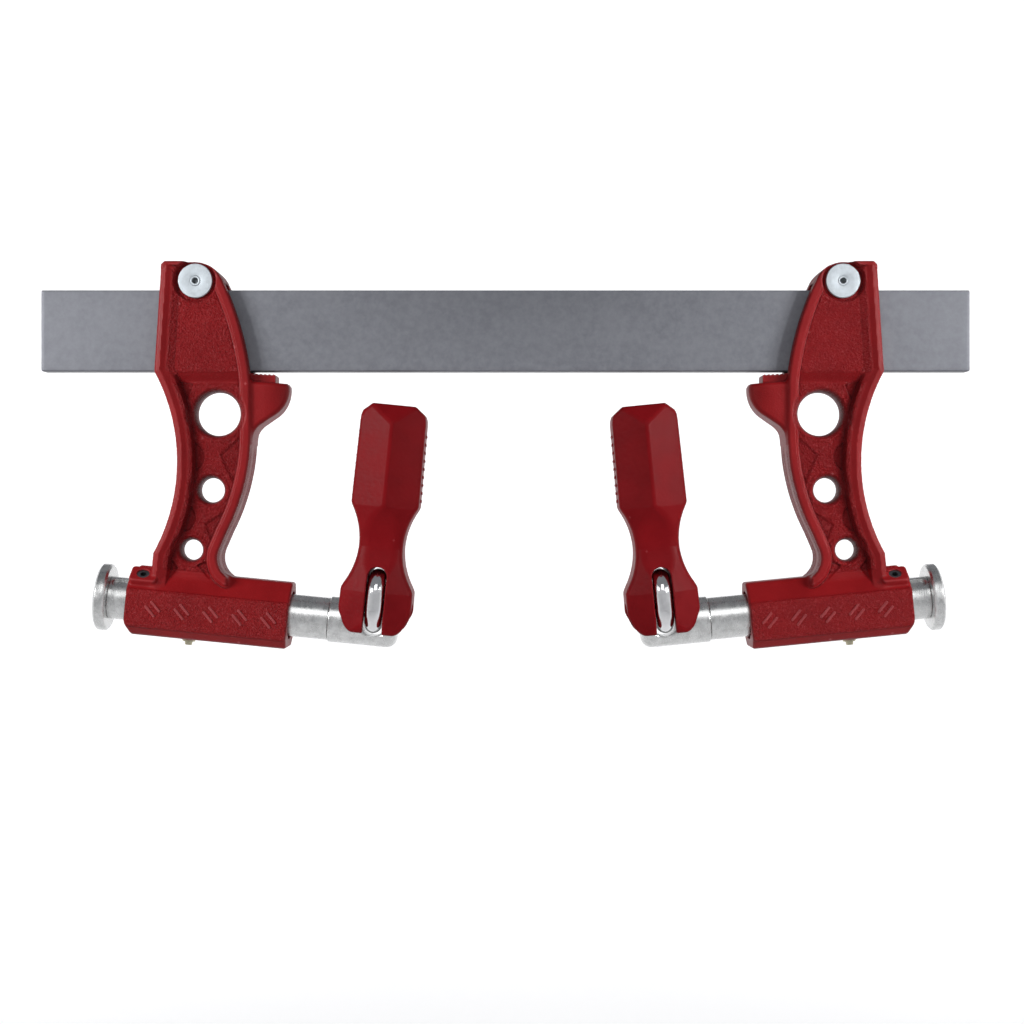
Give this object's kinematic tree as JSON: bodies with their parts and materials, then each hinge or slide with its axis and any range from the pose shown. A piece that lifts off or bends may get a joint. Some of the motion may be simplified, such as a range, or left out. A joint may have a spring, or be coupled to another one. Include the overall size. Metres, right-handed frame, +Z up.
{
  "type": "beam clamp",
  "caption": "Spreading beam clamp: twin cast arms slide on a flat bar, each with an outward-facing screw-driven round pad and a folding handle.",
  "frame": {"origin": "centre of the flat bar", "axes": "+X along the bar, +Z up, square to the bar's narrow edge, +Y through the bar's thickness"},
  "size_m": [0.459, 0.0402, 0.1906],
  "materials": {
    "bar_steel": "cold-drawn flat bar, matt grey",
    "cast_red": "deep red paint over a fine sand-cast skin",
    "moulded_red": "satin moulded red",
    "zinc_steel": "pale zinc plate",
    "turned_steel": "turned and bright zinc plated",
    "polished_steel": "polished",
    "dark_steel": "black oxide",
    "bronze": "plain bronze",
    "yellow_zinc": "yellow zinc plate",
    "rubber": "black nitrile"
  },
  "bodies": {
    "bar": {"bar": "bar_steel"},
    "carriage_left": {"axle_pin_left": "turned_steel", "axle_disc_front_left": "zinc_steel", "axle_disc_back_left": "zinc_steel", "axle_rivet_left": "zinc_steel"},
    "arm_left": {"arm_left": "cast_red", "set_screws_left": "dark_steel", "gland_bush_left": "turned_steel", "thrust_washer_left": "bronze", "wiper_ring_left": "rubber", "grease_nipple_left": "yellow_zinc", "nipple_ball_left": "turned_steel"},
    "piston_left": {"piston_left": "turned_steel", "pad_disc_left": "turned_steel", "drive_nut_left": "bronze"},
    "screw_left": {"lead_screw_left": "turned_steel", "t_head_left": "turned_steel", "head_dowel_left": "dark_steel"},
    "handle_left": {"handle_left": "moulded_red", "ring_link_left": "polished_steel", "cross_pin_left": "turned_steel"},
    "carriage_right": {"axle_pin_right": "turned_steel", "axle_disc_front_right": "zinc_steel", "axle_disc_back_right": "zinc_steel", "axle_rivet_right": "zinc_steel"},
    "arm_right": {"arm_right": "cast_red", "set_screws_right": "dark_steel", "gland_bush_right": "turned_steel", "thrust_washer_right": "bronze", "wiper_ring_right": "rubber", "grease_nipple_right": "yellow_zinc", "nipple_ball_right": "turned_steel"},
    "piston_right": {"piston_right": "turned_steel", "pad_disc_right": "turned_steel", "drive_nut_right": "bronze"},
    "screw_right": {"lead_screw_right": "turned_steel", "t_head_right": "turned_steel", "head_dowel_right": "dark_steel"},
    "handle_right": {"handle_right": "moulded_red", "ring_link_right": "polished_steel", "cross_pin_right": "turned_steel"}
  },
  "joints": [
    {"name": "arm_slide_left", "type": "slide", "parent": "bar", "child": "carriage_left", "axis": [-1, 0, 0], "range_m": [-0.04, 0.055]},
    {"name": "arm_rock_left", "type": "hinge", "parent": "carriage_left", "child": "arm_left", "pos_m": [-0.1524, 0, 0.02402], "axis": [0, -1, 0], "range_deg": [0, 2.3]},
    {"name": "screw_turn_left", "type": "hinge", "parent": "arm_left", "child": "screw_left", "pos_m": [-0.12629, 0, -0.13889], "axis": [-0.9952, 0, 0.0981], "range_deg": [-1080, 2880]},
    {"name": "piston_slide_left", "type": "slide", "parent": "arm_left", "child": "piston_left", "axis": [-0.9952, 0, 0.0981], "range_m": [-0.009, 0.024]},
    {"name": "handle_fold_left", "type": "hinge", "parent": "screw_left", "child": "handle_left", "pos_m": [-0.06499, 0, -0.14493], "axis": [0, 1, 0], "range_deg": [0, 90]},
    {"name": "arm_slide_right", "type": "slide", "parent": "bar", "child": "carriage_right", "axis": [1, 0, 0], "range_m": [-0.04, 0.042]},
    {"name": "arm_rock_right", "type": "hinge", "parent": "carriage_right", "child": "arm_right", "pos_m": [0.1658, 0, 0.02402], "axis": [0, 1, 0], "range_deg": [0, 2.3]},
    {"name": "screw_turn_right", "type": "hinge", "parent": "arm_right", "child": "screw_right", "pos_m": [0.13969, 0, -0.13889], "axis": [0.9952, 0, 0.0981], "range_deg": [-1080, 2880]},
    {"name": "piston_slide_right", "type": "slide", "parent": "arm_right", "child": "piston_right", "axis": [0.9952, 0, 0.0981], "range_m": [-0.009, 0.024]},
    {"name": "handle_fold_right", "type": "hinge", "parent": "screw_right", "child": "handle_right", "pos_m": [0.07839, 0, -0.14493], "axis": [0, -1, 0], "range_deg": [0, 90]}
  ],
  "couplings": [
    {"joint": "piston_slide_left", "follows": "screw_turn_left", "m_per_rad": 0.00047746},
    {"joint": "piston_slide_right", "follows": "screw_turn_right", "m_per_rad": 0.00047746}
  ]
}
